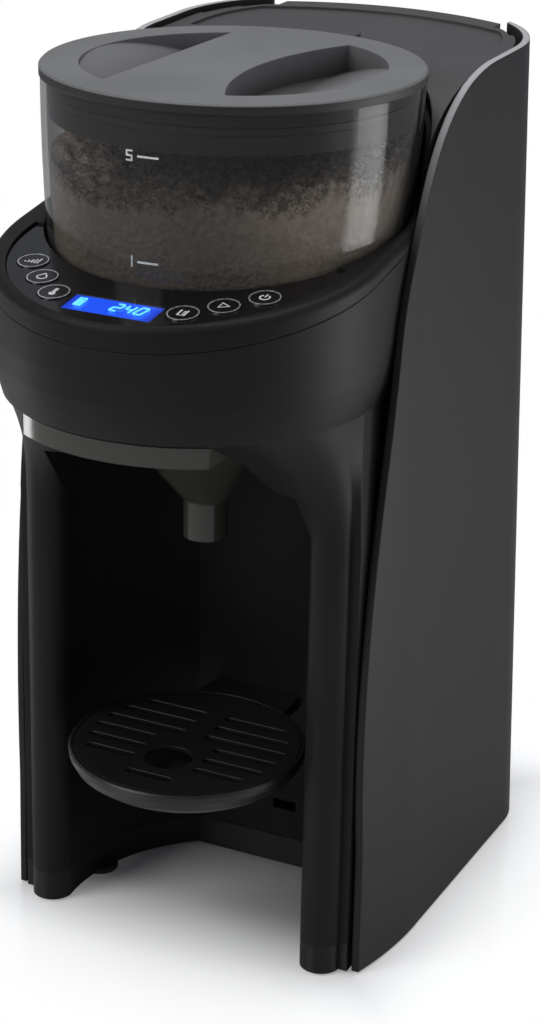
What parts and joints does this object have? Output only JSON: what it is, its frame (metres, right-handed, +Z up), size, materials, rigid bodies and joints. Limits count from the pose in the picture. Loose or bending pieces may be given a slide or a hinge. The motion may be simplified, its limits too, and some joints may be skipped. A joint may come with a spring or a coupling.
{
  "type": "baby formula maker",
  "caption": "Countertop baby formula maker with a smoky powder container, rear water tank, sloped button panel, funnel and drip tray.",
  "frame": {"origin": "on the counter under the middle of the machine", "axes": "+Z up, front of the machine towards -Y, +X to the right seen from the front"},
  "size_m": [0.1754, 0.276, 0.366],
  "materials": {
    "housing_black": "satin moulded plastic",
    "shell_grey": "satin moulded plastic",
    "base_black": "satin moulded plastic",
    "panel_black": "polished plastic",
    "display_glass": "lit display window",
    "button_black": "polished caps",
    "smoke_clear": "smoky clear plastic",
    "lid_grey": "fine matte plastic",
    "smoke_olive": "smoky tinted plastic",
    "tray_black": "satin moulded plastic",
    "tank_smoke": "smoky clear plastic",
    "frame_grey": "moulded frame plastic",
    "white_part": "white working parts",
    "steel": "plain steel",
    "rubber_black": "soft rubber",
    "silicone": "silicone",
    "board_green": "circuit board"
  },
  "bodies": {
    "machine": {"front_housing": "housing_black", "base_moulding": "base_black", "left_side_shell": "shell_grey", "right_side_shell": "shell_grey", "chassis_frame": "frame_grey", "container_well": "housing_black", "top_bezel": "housing_black", "control_panel": "panel_black", "control_board": "board_green", "display_window": "display_glass", "idler_pin": "steel", "drive_motor": "steel", "valve_seat": "white_part", "rear_cover": "housing_black", "power_inlet": "base_black", "water_pump": "frame_grey", "water_heater": "steel", "suction_hose": "silicone", "feed_hose": "silicone", "outlet_hose": "silicone", "water_nozzle": "silicone", "feet": "rubber_black", "pan_screws": "steel"},
    "strength_button_body": {"strength_button": "button_black"},
    "water_only_button_body": {"water_only_button": "button_black"},
    "temperature_button_body": {"temperature_button": "button_black"},
    "unit_button_body": {"unit_button": "button_black"},
    "start_button_body": {"start_button": "button_black"},
    "power_button_body": {"power_button": "button_black"},
    "container": {"powder_container": "smoke_clear"},
    "lid": {"powder_lid": "lid_grey", "lid_seal": "silicone"},
    "mixer": {"stirrer": "white_part", "dosing_wheel": "white_part"},
    "drive": {"drive_hub": "steel", "drive_gear": "white_part"},
    "idler": {"idler_gear": "white_part"},
    "motor_rotor": {"motor_pinion": "steel"},
    "funnel_drawer": {"funnel": "smoke_olive", "funnel_cover": "smoke_olive"},
    "tray": {"drip_tray": "tray_black"},
    "tray_grate": {"drip_tray_cover": "tray_black"},
    "tank": {"water_tank": "tank_smoke", "tank_hinge_pin": "steel"},
    "tank_cover": {"tank_lid": "lid_grey"},
    "valve": {"tank_valve": "white_part"}
  },
  "joints": [
    {"name": "strength_press", "type": "slide", "parent": "machine", "child": "strength_button_body", "axis": [0, 0.1478, -0.989], "range_m": [0, 0.0008], "stiffness_N_per_m": 400, "springref_m": -0.0003},
    {"name": "water_only_press", "type": "slide", "parent": "machine", "child": "water_only_button_body", "axis": [0, 0.1478, -0.989], "range_m": [0, 0.0008], "stiffness_N_per_m": 400, "springref_m": -0.0003},
    {"name": "temperature_press", "type": "slide", "parent": "machine", "child": "temperature_button_body", "axis": [0, 0.1478, -0.989], "range_m": [0, 0.0008], "stiffness_N_per_m": 400, "springref_m": -0.0003},
    {"name": "unit_press", "type": "slide", "parent": "machine", "child": "unit_button_body", "axis": [0, 0.1478, -0.989], "range_m": [0, 0.0008], "stiffness_N_per_m": 400, "springref_m": -0.0003},
    {"name": "start_press", "type": "slide", "parent": "machine", "child": "start_button_body", "axis": [0, 0.1478, -0.989], "range_m": [0, 0.0008], "stiffness_N_per_m": 400, "springref_m": -0.0003},
    {"name": "power_press", "type": "slide", "parent": "machine", "child": "power_button_body", "axis": [0, 0.1478, -0.989], "range_m": [0, 0.0008], "stiffness_N_per_m": 400, "springref_m": -0.0003},
    {"name": "container_lift", "type": "slide", "parent": "machine", "child": "container", "axis": [0, 0, 1], "range_m": [0, 0.1]},
    {"name": "lid_lift", "type": "slide", "parent": "container", "child": "lid", "axis": [0, 0, 1], "range_m": [0, 0.04]},
    {"name": "mixer_turn", "type": "hinge", "parent": "container", "child": "mixer", "pos_m": [0, -0.0346, 0.29], "axis": [0, 0, 1], "continuous": true},
    {"name": "drive_turn", "type": "hinge", "parent": "machine", "child": "drive", "pos_m": [0, -0.0346, 0.272], "axis": [0, 0, 1], "continuous": true},
    {"name": "idler_turn", "type": "hinge", "parent": "machine", "child": "idler", "pos_m": [0, 0.00365, 0.272], "axis": [0, 0, 1], "continuous": true},
    {"name": "motor_turn", "type": "hinge", "parent": "machine", "child": "motor_rotor", "pos_m": [0, 0.0249, 0.272], "axis": [0, 0, 1], "continuous": true},
    {"name": "funnel_slide", "type": "slide", "parent": "machine", "child": "funnel_drawer", "axis": [0, -1, 0], "range_m": [0, 0.115]},
    {"name": "tray_pull", "type": "slide", "parent": "machine", "child": "tray", "axis": [0, -1, 0], "range_m": [0, 0.06]},
    {"name": "grate_lift", "type": "slide", "parent": "tray", "child": "tray_grate", "axis": [0, 0, 1], "range_m": [0, 0.02]},
    {"name": "tank_lift", "type": "slide", "parent": "machine", "child": "tank", "axis": [0, 0, 1], "range_m": [0, 0.15]},
    {"name": "tank_lid_hinge", "type": "hinge", "parent": "tank", "child": "tank_cover", "pos_m": [0, 0.1338, 0.3546], "axis": [-1, 0, 0], "range_deg": [0, 85]},
    {"name": "valve_lift", "type": "slide", "parent": "tank", "child": "valve", "axis": [0, 0, 1], "range_m": [0, 0.003]}
  ],
  "couplings": [
    {"joint": "mixer_turn", "follows": "drive_turn", "ratio": 1},
    {"joint": "idler_turn", "follows": "drive_turn", "ratio": -1.7143},
    {"joint": "motor_turn", "follows": "drive_turn", "ratio": 3.4286}
  ]
}
